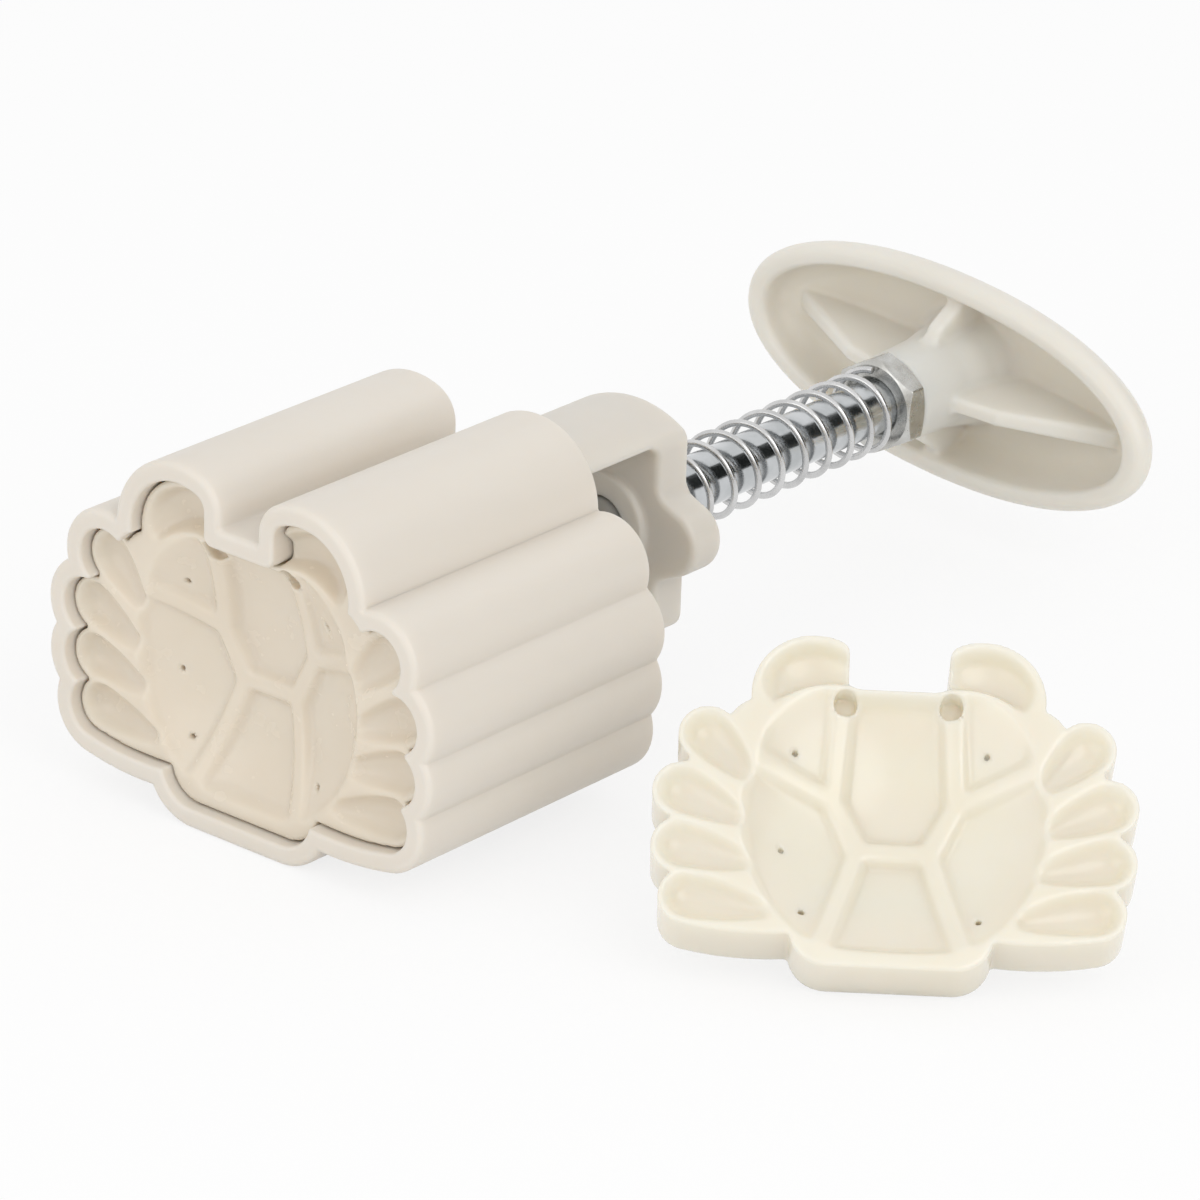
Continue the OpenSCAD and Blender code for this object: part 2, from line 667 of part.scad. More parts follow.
// Outside: a rounded rim, then a dome that flattens towards the palm.
OUTSIDE = concat(
  [for (a = [0 : 22.5 : 90]) let (in = rim_r * (1 - sin(a)))
    [handle_a - in, handle_b - in, -rim_r * cos(a)]],
  [for (a = [12 : 12 : 84]) [handle_a * cos(a), handle_b * cos(a), handle_dome * sin(a)]]);
// Hollow: from in front of the rim down to the floor, inside the dome's wall.
DOME_WALL = 2.4;
hollow_a = handle_a - rim_w;
hollow_b = handle_b - rim_side_w;
function hollow_layer(h) =
  let (
    share = sqrt(1 - pow(h / (handle_dome - DOME_WALL), 2)),
    draft = 0.2 * (h + rim_r - 1))
  [
    min(hollow_a - draft, (handle_a - DOME_WALL) * share),
    min(hollow_b - draft, (handle_b - DOME_WALL) * share), h];
HOLLOW = concat(
  [
    [hollow_a + 0.6, hollow_b + 0.6, -rim_r - SKIN], [hollow_a + 0.6, hollow_b + 0.6, -rim_r],
    [hollow_a, hollow_b, -rim_r + 1]],
  [for (k = [1 : 6]) hollow_layer(handle_inner_floor * k / 6)]);

// Ribs from hub to rim as [distance from the axis, height]: long ones sideways.
rib_seat = handle_inner_floor + 0.6;
LONG_RIB = [
  [hub_r - 1.6, -hub_stand + 5.5], [13.9, -6], [29, 2.6], [handle_a - 6.5, 4.2],
  [handle_a - 12.8, rib_seat], [hub_r - 1.6, rib_seat]];
SHORT_RIB = [
  [hub_r - 1.6, -hub_stand + 6.5], [9.1, -4.8], [handle_b - 4.3, -1.1], [handle_b - 2.6, -0.6],
  [handle_b - 3, 3], [handle_b - 5.5, rib_seat], [hub_r - 1.6, rib_seat]];
module gusset(outline) {
  rotate([90, 0, 0]) translate([0, 0, -gusset_t / 2]) linear_extrude(gusset_t) polygon(outline);
}

module handle() {
  color("ivory") on_axis(rim_line) rotate(handle_turn) difference() {
    union() {
      difference() {
        loft(OUTSIDE);
        loft(HOLLOW);
      }
      rotate_extrude() polygon([
        [0, -hub_stand], [hub_r, -hub_stand], [hub_r + 0.4, -4], [hub_r + 1.4, 2],
        [hub_r + 3, rib_seat], [0, rib_seat]]);
      for (turn = [0, 180]) rotate(turn) gusset(LONG_RIB);
      for (turn = [90, 270]) rotate(turn) gusset(SHORT_RIB);
    }
    translate([0, 0, -hub_stand - SKIN])
      cylinder(h = handle_insert_len + SKIN, r = insert_r + thread_gap);
  }
}

module handle_insert() {
  color("goldenrod") on_axis(hub_front) insert_body(handle_insert_len);
}

mould_sleeve();
guide_frame();
frame_screws();
spring_washer();
return_spring();
plunger_rod();
spring_nut();
handle();
handle_insert();
press_stamp();
stamp_insert();
loose_stamp();
loose_stamp_insert();
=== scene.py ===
"""Mooncake press with a crab mould, a sprung plunger and a palm handle, and its loose stamp."""

import math

import bpy
import bmesh
import numpy as np
from mathutils import Matrix, Vector
from mathutils.geometry import tessellate_polygon


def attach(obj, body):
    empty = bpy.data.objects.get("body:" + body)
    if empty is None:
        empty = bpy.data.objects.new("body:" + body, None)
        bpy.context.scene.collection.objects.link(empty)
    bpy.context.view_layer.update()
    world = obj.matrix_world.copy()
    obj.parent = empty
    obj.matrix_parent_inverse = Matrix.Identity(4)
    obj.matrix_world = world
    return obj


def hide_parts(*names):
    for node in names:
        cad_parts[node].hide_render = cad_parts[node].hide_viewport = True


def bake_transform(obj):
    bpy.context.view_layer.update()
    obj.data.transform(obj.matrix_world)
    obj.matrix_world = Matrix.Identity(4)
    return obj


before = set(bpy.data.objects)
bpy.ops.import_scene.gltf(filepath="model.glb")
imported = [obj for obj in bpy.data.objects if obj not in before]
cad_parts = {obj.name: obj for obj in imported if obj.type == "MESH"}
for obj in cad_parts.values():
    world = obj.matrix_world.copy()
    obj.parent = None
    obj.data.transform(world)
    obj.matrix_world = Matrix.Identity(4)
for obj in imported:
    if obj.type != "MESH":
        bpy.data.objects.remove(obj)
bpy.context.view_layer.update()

# Lengths below are millimetres of the row frame, and meshes are scaled to metres when made.
# A place is a distance behind the sleeve's mouth, along the plunger's axis.
MM = 0.001
MOUTH_Y = -23.5
AXIS_H = 24.0
CRAB_H = 25.8
SLEEVE_LEN = 47.0
FRAME_LEN = 34.0
FRAME_BACK = SLEEVE_LEN + FRAME_LEN
WASHER_T = 1.0
SPRING_FRONT = FRAME_BACK + WASHER_T
SPRING_LEN = 53.0
NUT_FRONT = SPRING_FRONT + SPRING_LEN
ROD_R = 4.0
# Bore of the plastic round a threaded insert.
SEAT_R = 5.22


# ---- crab outline ----
# Points are (x, z) about the middle of the crab, on its right half.
LEGS = [(24.0, 8.0), (27.0, 0.2), (26.9, -7.25), (25.7, -14.1)]
LEG_R = 3.8
CLAW, CLAW_R = (10.75, 14.2), 8.0
BELLY, BELLY_R = (8.0, -17.8), 4.9
FLANK_R = 45.0
FLANK_TURN = math.radians(-78)
CLAW_SIDE_X = 6.4
FOREHEAD_Z = 15.0
FOREHEAD_FILLET, LEAST_FILLET = 1.8, 0.6
# Round stretches from the belly to the claw as (x, z, radius), and the radius of the hollow
# corner to the next one, or None where the two share a tangent.
ROUNDS = [
    (*BELLY, BELLY_R),
    (LEGS[3][0] - (FLANK_R - LEG_R) * math.cos(FLANK_TURN),
     LEGS[3][1] - (FLANK_R - LEG_R) * math.sin(FLANK_TURN), FLANK_R),
    (*LEGS[3], LEG_R),
    (*LEGS[2], LEG_R),
    (*LEGS[1], LEG_R),
    (*LEGS[0], LEG_R),
    (16.85, 8.35, 5.0),
    (*CLAW, CLAW_R),
    (8.3, 19.786, 1.9),
]
JOINS = [0.32, None, 0.32, 0.32, 0.64, 0.32, 0.32, None]
ARC_POINTS = [12, 7, 14, 18, 18, 18, 7, 24, 12]
CORNER_POINTS, FILLET_POINTS = 4, 9


def angle_of(v):
    return math.degrees(math.atan2(v[1], v[0]))


def on_circle(centre, radius, degrees):
    a = np.radians(degrees)
    return np.stack([centre[0] + radius * np.cos(a), centre[1] + radius * np.sin(a)], -1)


def crab_half(grow, soft):
    """Right half of the outline from the belly to the forehead, grown on all sides."""
    centres = [np.array(r[:2]) for r in ROUNDS]

    def hollow(i):
        return max(soft, JOINS[i] - grow)

    def corner(i):
        way = centres[i + 1] - centres[i]
        far = np.linalg.norm(way)
        ra = ROUNDS[i][2] + grow + hollow(i)
        rb = ROUNDS[i + 1][2] + grow + hollow(i)
        along = (far * far + ra * ra - rb * rb) / (2 * far)
        out = math.sqrt(ra * ra - along * along)
        return centres[i] + way / far * along + np.array([way[1], -way[0]]) / far * out

    def tangent(i):
        way = centres[i + 1] - centres[i]
        far = np.linalg.norm(way)
        lean = math.asin(min(1.0, (ROUNDS[i][2] - ROUNDS[i + 1][2]) / far))
        side = np.array([way[1], -way[0]]) / far
        return angle_of(side * math.cos(lean) + way / far * math.sin(lean))

    last = len(ROUNDS) - 1
    parts = []
    for i, (_, _, radius) in enumerate(ROUNDS):
        if i == 0:
            a0 = -90.0
        elif JOINS[i - 1] is None:
            a0 = tangent(i - 1)
        else:
            a0 = angle_of(corner(i - 1) - centres[i])
        if i == last:
            a1 = 180.0
        elif JOINS[i] is None:
            a1 = tangent(i)
        else:
            a1 = angle_of(corner(i) - centres[i])
        a1 = a1 + 360 if a1 < a0 - 180 else max(a0, a1)
        parts.append(on_circle(centres[i], radius + grow, np.linspace(a0, a1, ARC_POINTS[i])))
        if i < last and JOINS[i] is not None:
            mid = corner(i)
            b0, b1 = angle_of(centres[i] - mid), angle_of(centres[i + 1] - mid)
            turn = b1 - b0 - 360 if b1 > b0 else b1 - b0
            parts.append(on_circle(mid, hollow(i),
                                   b0 + turn * np.linspace(0.2, 0.8, CORNER_POINTS)))
    fillet = max(LEAST_FILLET, FOREHEAD_FILLET - grow)
    side_x, top = CLAW_SIDE_X - grow, FOREHEAD_Z + grow
    parts.append(on_circle((side_x - fillet, top + fillet), fillet,
                           np.linspace(0, -90, FILLET_POINTS)))
    return np.concatenate(parts)


def crab_ring(grow, soft=0.35):
    """The whole outline, grown on all sides, with its hollow corners no sharper than soft."""
    half = crab_half(grow, soft)
    return np.concatenate([half, half[::-1] * [-1, 1]])


# ---- mesh makers ----
SAME_POINT = 1e-6


def new_object(name, verts, faces, sharp=None):
    """A mesh object from millimetres, with its faces turned outwards and shaded smooth."""
    mesh = bpy.data.meshes.new(name)
    verts = np.asarray(verts, float) * MM
    mesh.from_pydata(verts.tolist(), [], [tuple(int(i) for i in f) for f in faces])
    bm = bmesh.new()
    bm.from_mesh(mesh)
    bmesh.ops.remove_doubles(bm, verts=bm.verts, dist=SAME_POINT)
    bmesh.ops.dissolve_degenerate(bm, dist=SAME_POINT, edges=bm.edges)
    bmesh.ops.recalc_face_normals(bm, faces=bm.faces)
    bm.to_mesh(mesh)
    bm.free()
    mesh.shade_smooth()
    if sharp:
        mesh.set_sharp_from_angle(angle=math.radians(sharp))
    obj = bpy.data.objects.new(name, mesh)
    bpy.context.scene.collection.objects.link(obj)
    return obj


def skin(rings, closed_ends=False):
    """Vertices and faces of a tube through rings of equal length."""
    n = len(rings[0])
    verts = np.concatenate(rings)
    faces = []
    for i in range(len(rings) - 1):
        a = i * n
        for k in range(n):
            b = (k + 1) % n
            faces.append((a + k, a + b, a + n + b, a + n + k))
    if closed_ends:
        faces.append(tuple(range(n))[::-1])
        faces.append(tuple(range((len(rings) - 1) * n, len(rings) * n)))
    return verts, faces


def lathe(profile, count=96):
    """Rings of a profile of (radius, place) turned about the plunger's axis."""
    angles = np.linspace(0, 2 * math.pi, count, endpoint=False)
    return [
        np.stack([r * np.cos(angles), np.full(count, MOUTH_Y + y), AXIS_H + r * np.sin(angles)], -1)
        for r, y in profile]


def joined(pieces):
    """Several sets of vertices and faces as one."""
    verts, faces, base = [], [], 0
    for v, f in pieces:
        verts.append(v)
        faces += [tuple(i + base for i in face) for face in f]
        base += len(v)
    return np.concatenate(verts), faces


def round_max(a, b, r):
    """Where two fields overlap, with their outer edge rounded."""
    return np.minimum(np.maximum(a, b), -r) + np.hypot(np.maximum(a + r, 0), np.maximum(b + r, 0))


def round_min(a, b, r):
    """Two fields joined, with a fillet in the corner between them."""
    return np.maximum(np.minimum(a, b), r) - np.hypot(np.maximum(r - a, 0), np.maximum(r - b, 0))


def smooth(t):
    """0 below 0, 1 above 1 and an even rise between them."""
    t = np.clip(t, 0, 1)
    return t * t * (3 - 2 * t)


def polygon_field(points, x, z):
    """Signed distance to a flat outline, negative inside it."""
    p = np.asarray(points, np.float32)
    q = np.roll(p, -1, axis=0)
    best = np.full(np.broadcast(x, z).shape, 1e9, np.float32)
    inside = np.zeros(best.shape, bool)
    for (ax, az), (bx, bz) in zip(p, q):
        ex, ez = bx - ax, bz - az
        size = ex * ex + ez * ez
        if size < 1e-10:
            continue
        wx, wz = x - ax, z - az
        t = np.clip((wx * ex + wz * ez) / size, 0, 1)
        best = np.minimum(best, (wx - ex * t) ** 2 + (wz - ez * t) ** 2)
        if abs(ez) > 1e-9:
            inside ^= ((az > z) != (bz > z)) & (x < ex * (z - az) / ez + ax)
    best = np.sqrt(best)
    return np.where(inside, -best, best)


def grid(low, high, step):
    """Axes of a grid of points from low to high, shaped to combine with each other."""
    axes = [np.arange(a, b + step, step, dtype=np.float32) for a, b in zip(low, high)]
    return axes[0][:, None, None], axes[1][None, :, None], axes[2][None, None, :]


def net(field, low, step):
    """Vertices and faces of the surface on which a field on a grid is zero.

    Each cell of the grid that the surface passes has one vertex, at the mean of the points where
    the surface crosses the cell's edges.
    """
    field = field.astype(np.float32)
    inside = field < 0
    shape = np.array(field.shape) - 1
    count = np.zeros(shape, np.int8)
    for dx in (0, 1):
        for dy in (0, 1):
            for dz in (0, 1):
                count += inside[dx:shape[0] + dx, dy:shape[1] + dy, dz:shape[2] + dz]
    mixed = (count > 0) & (count < 8)
    cells = np.argwhere(mixed)
    index = np.full(shape, -1, np.int64)
    index[mixed] = np.arange(len(cells))
    place = np.zeros((len(cells), 3))
    hits = np.zeros(len(cells))
    unit = np.eye(3, dtype=int)
    for a in range(3):
        b, c = (a + 1) % 3, (a + 2) % 3
        for db in (0, 1):
            for dc in (0, 1):
                start = cells + db * unit[b] + dc * unit[c]
                end = start + unit[a]
                f0 = field[tuple(start.T)]
                f1 = field[tuple(end.T)]
                cross = (f0 < 0) != (f1 < 0)
                t = f0[cross] / (f0[cross] - f1[cross])
                place[cross] += start[cross] + t[:, None] * unit[a]
                hits[cross] += 1
    place /= hits[:, None]
    faces = []
    for a in range(3):
        b, c = (a + 1) % 3, (a + 2) % 3
        first = np.take(inside, range(shape[a]), axis=a)
        second = np.take(inside, range(1, shape[a] + 1), axis=a)
        edges = np.argwhere(first != second)
        edges = edges[(edges[:, b] > 0) & (edges[:, c] > 0)
                      & (edges[:, b] < shape[b]) & (edges[:, c] < shape[c])]
        quads = np.stack([
            index[tuple((edges - unit[b] - unit[c]).T)], index[tuple((edges - unit[c]).T)],
            index[tuple(edges.T)], index[tuple((edges - unit[b]).T)]], -1)
        outwards = first[tuple(edges.T)]
        faces.append(np.where(outwards[:, None], quads, quads[:, ::-1]))
    return place * step + np.array(low), np.concatenate(faces)


def net_object(name, verts, faces):
    """A mesh object of a net, from millimetres."""
    mesh = bpy.data.meshes.new(name)
    mesh.from_pydata((verts * MM).tolist(), [], faces.tolist())
    mesh.shade_smooth()
    obj = bpy.data.objects.new(name, mesh)
    bpy.context.scene.collection.objects.link(obj)
    return obj


# ---- materials ----
# Scales of the noises in the plastic and in the metal, per metre.
CLOUDS, SCUFFS, WAVES, GRAIN = 60, 240, 110, 2600
TARNISH = 220
ALL_WAYS = (1, 1, 1)


def material(name):
    """A new material with its node tree and its shader."""
    mat = bpy.data.materials.new(name)
    mat.use_nodes = True
    tree = mat.node_tree
    shader = tree.nodes["Principled BSDF"]
    return mat, tree, shader


def node(tree, kind, inputs=(), **settings):
    """A new node whose inputs are set to values or linked to sockets."""
    made = tree.nodes.new(kind)
    for key, value in settings.items():
        setattr(made, key, value)
    for key, value in dict(inputs).items():
        if isinstance(value, bpy.types.NodeSocket):
            tree.links.new(value, made.inputs[key])
        else:
            made.inputs[key].default_value = value
    return made


def noise(tree, scale, stretch, detail, rough=0.55):
    """Noise over the piece itself, with its scale per metre."""
    coord = node(tree, "ShaderNodeTexCoord")
    mapping = node(tree, "ShaderNodeMapping", {
        "Vector": coord.outputs["Object"], "Scale": stretch})
    made = node(tree, "ShaderNodeTexNoise", {
        "Vector": mapping.outputs["Vector"], "Scale": scale, "Detail": detail, "Roughness": rough})
    return made.outputs["Fac"]


def ramp(tree, value, low, high, to_low, to_high):
    made = node(tree, "ShaderNodeMapRange", {
        "Value": value, "From Min": low, "From Max": high, "To Min": to_low, "To Max": to_high})
    return made.outputs["Result"]


def mixed_colour(tree, factor, a, b):
    made = node(tree, "ShaderNodeMix", data_type="RGBA")
    tree.links.new(factor, made.inputs["Factor"])
    made.inputs["A"].default_value = (*a, 1)
    made.inputs["B"].default_value = (*b, 1)
    return made.outputs["Result"]


def plastic(name, pale, deep, rough, grain, flow, milky=0.35, reach=0.003):
    """Moulded ivory plastic: soft cloudy colour, flow marks, a fine grain and faint scuffs."""
    mat, tree, shader = material(name)
    cloud = noise(tree, CLOUDS, flow, 5)
    tree.links.new(mixed_colour(tree, ramp(tree, cloud, 0.3, 0.7, 0, 1), pale, deep),
                   shader.inputs["Base Color"])
    scuff = noise(tree, SCUFFS, ALL_WAYS, 3)
    tree.links.new(ramp(tree, scuff, 0.3, 0.7, rough - 0.03, rough + 0.05),
                   shader.inputs["Roughness"])
    wave = noise(tree, WAVES, flow, 1)
    fine = noise(tree, GRAIN, ALL_WAYS, 2)
    low = node(tree, "ShaderNodeBump", {"Height": wave, "Strength": 0.2, "Distance": 0.0002})
    high = node(tree, "ShaderNodeBump", {
        "Height": fine, "Strength": grain, "Distance": 0.00001, "Normal": low.outputs["Normal"]})
    tree.links.new(high.outputs["Normal"], shader.inputs["Normal"])
    shader.inputs["IOR"].default_value = 1.5
    shader.inputs["Subsurface Weight"].default_value = milky
    shader.inputs["Subsurface Radius"].default_value = (1.0, 0.86, 0.7)
    shader.inputs["Subsurface Scale"].default_value = reach
    return mat


def metal(name, bright, dull, rough, stretch, scale=900, bump=0.00001):
    """Bare or plated metal, with drawing or turning marks and a faint cloud of tarnish."""
    mat, tree, shader = material(name)
    cloud = noise(tree, TARNISH, ALL_WAYS, 5)
    tree.links.new(mixed_colour(tree, ramp(tree, cloud, 0.35, 0.7, 0, 1), bright, dull),
                   shader.inputs["Base Color"])
    marks = noise(tree, scale, stretch, 5, 0.6)
    tree.links.new(ramp(tree, marks, 0.3, 0.75, rough * 0.7, rough * 1.6),
                   shader.inputs["Roughness"])
    lines = node(tree, "ShaderNodeBump", {"Height": marks, "Strength": 0.5, "Distance": bump})
    tree.links.new(lines.outputs["Normal"], shader.inputs["Normal"])
    shader.inputs["Metallic"].default_value = 1.0
    return mat


SLEEVE = plastic("sleeve_ivory", (0.752, 0.704, 0.635), (0.732, 0.677, 0.60),
                 rough=0.42, grain=0.5, flow=(1, 0.22, 1))
FRAME = plastic("frame_ivory", (0.69, 0.655, 0.595), (0.67, 0.63, 0.565),
                rough=0.42, grain=0.5, flow=(1, 1, 0.3), milky=0.6, reach=0.004)
HANDLE = plastic("handle_ivory", (0.75, 0.725, 0.665), (0.73, 0.70, 0.635),
                 rough=0.36, grain=0.35, flow=ALL_WAYS, milky=0.6, reach=0.005)
STAMP = plastic("stamp_ivory", (0.75, 0.675, 0.565), (0.735, 0.65, 0.53),
                rough=0.24, grain=0.08, flow=ALL_WAYS)
# Painted light: the spare stamp is the same plastic as the press stamp, with its colour painted
# lighter to stand in for the brighter light that falls on it.
SPARE_PAINTED_LIGHTER = plastic("spare_stamp_ivory_painted_lighter", (0.80, 0.755, 0.65), (0.785, 0.73, 0.605),
                rough=0.17, grain=0.08, flow=ALL_WAYS, milky=0.55, reach=0.005)
ZINC = metal("bright_zinc", (0.60, 0.615, 0.63), (0.47, 0.49, 0.50),
             rough=0.16, stretch=(1, 0.08, 1))
NUT_ZINC = metal("nut_zinc", (0.62, 0.62, 0.60), (0.44, 0.43, 0.40),
                 rough=0.22, stretch=ALL_WAYS, scale=700, bump=0.00003)
WIRE = metal("spring_wire", (0.68, 0.68, 0.68), (0.54, 0.54, 0.54),
             rough=0.22, stretch=ALL_WAYS, scale=1400)
BRASS = metal("insert_brass", (0.76, 0.58, 0.28), (0.60, 0.44, 0.20),
              rough=0.26, stretch=ALL_WAYS, scale=1200)


def finish_piece(obj, mat, slot, body, *nodes):
    """Dress a piece, let it ride on its body and let it take the place of its CAD nodes."""
    obj.data.materials.clear()
    obj.data.materials.append(mat)
    if body:
        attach(obj, body)
    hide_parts(*nodes)


# ---- mould sleeve ----
BACK_WALL = 3.0
OUT, IN = 3.1, 0.3
FLOOR_EDGE_R, MOUTH_IN_R, MOUTH_OUT_R, BACK_EDGE_R = 0.7, 0.55, 0.9, 0.8
ROD_HOLE_R = 4.6
SCREW_AT, SCREW_HOLE_R = 15.0, 1.4


def ring_at(grow, place):
    """The crab's outline as a ring at a place, grown on all sides."""
    flat = crab_ring(grow)
    return np.stack([flat[:, 0], np.full(len(flat), MOUTH_Y + place), CRAB_H + flat[:, 1]], -1)


def quarter(centre_grow, centre_place, radius, start, stop, count=6):
    """Stations of a rounded edge in grow and place."""
    return [(centre_grow + radius * math.sin(math.radians(a)),
             centre_place + radius * math.cos(math.radians(a)))
            for a in np.linspace(start, stop, count)]


def hole_ring(v, radius, place, count=48):
    """A circle at a place, v above the plunger's axis."""
    a = np.linspace(0, 2 * math.pi, count, endpoint=False)
    return np.stack([radius * np.cos(a), np.full(count, MOUTH_Y + place),
                     AXIS_H + v + radius * np.sin(a)], -1)


def plate(outer, holes):
    """Flat face inside a ring, round its holes."""
    loops = [outer] + holes
    verts = np.concatenate(loops)
    return verts, tessellate_polygon([[Vector(p) for p in loop] for loop in loops])


def make_sleeve():
    """The sleeve, as rings from its floor along the inner wall, round the mouth and back."""
    floor = SLEEVE_LEN - BACK_WALL
    clear = 3.0
    stations = [(IN - 1.6, floor)]
    stations += quarter(IN - FLOOR_EDGE_R, floor - FLOOR_EDGE_R, FLOOR_EDGE_R, 0, 90)
    stations += [(IN, p) for p in np.linspace(floor - clear, clear, 8)]
    stations += quarter(IN + MOUTH_IN_R, MOUTH_IN_R, MOUTH_IN_R, 270, 180)
    stations += [(IN + 1.0, 0.0), (OUT - 1.2, 0.0)]
    stations += quarter(OUT - MOUTH_OUT_R, MOUTH_OUT_R, MOUTH_OUT_R, 180, 90)
    stations += [(OUT, p) for p in np.linspace(clear, SLEEVE_LEN - clear, 9)]
    stations += quarter(OUT - BACK_EDGE_R, SLEEVE_LEN - BACK_EDGE_R, BACK_EDGE_R, 90, 0)
    stations += [(OUT - 2.0, SLEEVE_LEN)]
    rings = [ring_at(g, p) for g, p in stations]
    holes = [(0.0, ROD_HOLE_R), (SCREW_AT, SCREW_HOLE_R), (-SCREW_AT, SCREW_HOLE_R)]
    pieces = [skin(rings)]
    pieces.append(plate(rings[0], [hole_ring(v, r, floor) for v, r in holes]))
    pieces.append(plate(rings[-1], [hole_ring(v, r, SLEEVE_LEN) for v, r in holes]))
    for v, r in holes:
        pieces.append(skin([hole_ring(v, r, floor), hole_ring(v, r, SLEEVE_LEN)]))
    verts, faces = joined(pieces)
    return new_object("sleeve", verts, faces, sharp=40)


# ---- guide frame ----
ARCH_R, ARCH_T, FRAME_W, ARCH_EDGE_R, FRAME_EDGE_R = 16.9, 3.4, 18.8, 2.2, 0.7
WINDOW = (50.0, 74.6)
WINDOW_CORNER_R, WINDOW_EDGE_R = 1.8, 0.9
BOSS_FACE, BOSS_R, BOSS_EDGE_R, BOSS_FILLET = 73.6, 7.5, 0.4, 0.8
GUIDE_BORE_R, GUIDE_BORE_FRONT, BORE_EDGE_R = 4.08, 60.0, 0.3
EAR_REACH, EAR_ROOT, EAR_R, EAR_EDGE_R, EAR_FILLET = 16.2, 6.3, 5.0, 1.5, 1.2
EAR_FRONT = WINDOW[1] - 2


def frame_outline():
    """The frame seen along the rod: two arches joined by straight sides."""
    x = FRAME_W / 2 - ARCH_EDGE_R
    z = math.sqrt((ARCH_R - ARCH_EDGE_R) ** 2 - x * x)
    a = math.degrees(math.atan2(z, x))
    return np.concatenate([
        on_circle((x, z), ARCH_EDGE_R, np.linspace(0, a, 8)),
        on_circle((0, 0), ARCH_R, np.linspace(a, 180 - a, 24)),
        on_circle((-x, z), ARCH_EDGE_R, np.linspace(180 - a, 180, 8)),
        on_circle((-x, -z), ARCH_EDGE_R, np.linspace(180, 180 + a, 8)),
        on_circle((0, 0), ARCH_R, np.linspace(180 + a, 360 - a, 24)),
        on_circle((x, -z), ARCH_EDGE_R, np.linspace(360 - a, 360, 8))])


def ear_outline():
    """One finger ear, from the rod's axis outwards."""
    return np.concatenate([
        [[0, EAR_ROOT], [FRAME_W / 2, EAR_ROOT]],
        on_circle((EAR_REACH - EAR_R, 0), EAR_R, np.linspace(75, -75, 20)),
        [[FRAME_W / 2, -EAR_ROOT], [0, -EAR_ROOT]]])


def make_frame():
    step = 0.3
    low, high = (-17.1, SLEEVE_LEN - 0.6, -17.8), (17.1, FRAME_BACK + 0.6, 17.8)
    x, d, v = grid(low, high, step)
    outline = polygon_field(frame_outline(), x, v)
    mid, half = (SLEEVE_LEN + FRAME_BACK) / 2, FRAME_LEN / 2
    body = round_max(outline, np.abs(d - mid) - half, FRAME_EDGE_R)
    ear = polygon_field(ear_outline(), np.abs(x), v)
    ear_mid, ear_half = (FRAME_BACK + EAR_FRONT) / 2, (FRAME_BACK - EAR_FRONT) / 2
    ear = round_max(ear, np.abs(d - ear_mid) - ear_half, EAR_EDGE_R)
    body = round_min(body, ear, EAR_FILLET)
    w_mid, w_half = sum(WINDOW) / 2, (WINDOW[1] - WINDOW[0]) / 2
    window = round_max(np.abs(v) - (ARCH_R - ARCH_T), np.abs(d - w_mid) - w_half,
                       WINDOW_CORNER_R)
    body = round_max(body, -window, WINDOW_EDGE_R)
    around = np.hypot(x, v)
    boss = round_max(around - BOSS_R, np.maximum(BOSS_FACE - d, d - FRAME_BACK + 0.5), BOSS_EDGE_R)
    body = round_min(body, boss, BOSS_FILLET)
    bore = np.where(d < GUIDE_BORE_FRONT, around - ROD_HOLE_R, around - GUIDE_BORE_R)
    body = round_max(body, -bore, BORE_EDGE_R)
    verts, faces = net(np.broadcast_to(body, np.broadcast(x, d, v).shape), low, step)
    verts[:, 1] += MOUTH_Y
    verts[:, 2] += AXIS_H
    return net_object("guide", verts, faces)


# ---- handle ----
# Places on the handle are depths d behind its rim line, u runs along it and v across it.
HANDLE_A, HANDLE_B, HANDLE_DOME, RIM_R = 36.8, 15.8, 9.6, 2.0
RIM_LINE = 152.4
HUB_STAND = 13.4
INNER_FLOOR = 6.0
DOME_WALL = 2.4
HOLLOW_IN = (3.7, 2.9)
HOLLOW_SLOPE, HOLLOW_CORNER_R, LIP_R = 0.2, 2.5, 1.1
HUB_PLACES, HUB_RADII = [-HUB_STAND, -4, 2, 6.6], [6.6, 7.0, 8.0, 9.6]
HUB_EDGE_R, HUB_FILLET = 0.6, 2.0
RIB_HALF_T, RIB_DRAFT, RIB_EDGE_R, RIB_FILLET = 1.15, 0.035, 0.8, 1.1
HANDLE_SEAT_DEPTH = 12
OVAL_POWER = 2.12
HANDLE_TURN = math.radians(-6)
LONG_RIB = [(5, -7.9), (13.9, -6), (29, 2.6), (30.3, 4.2), (24, 6.6), (5, 6.6)]
SHORT_RIB = [(5, -6.9), (9.1, -4.8), (11.5, -1.1), (13.2, -0.6), (12.8, 3), (10.3, 6.6), (5, 6.6)]


def oval(a, b, count=180):
    """Outline of the handle, slightly squarer than an ellipse."""
    t = np.linspace(0, 2 * math.pi, count, endpoint=False)
    power = 2 / OVAL_POWER
    return np.stack([a * np.sign(np.cos(t)) * np.abs(np.cos(t)) ** power,
                     b * np.sign(np.sin(t)) * np.abs(np.sin(t)) ** power], -1)


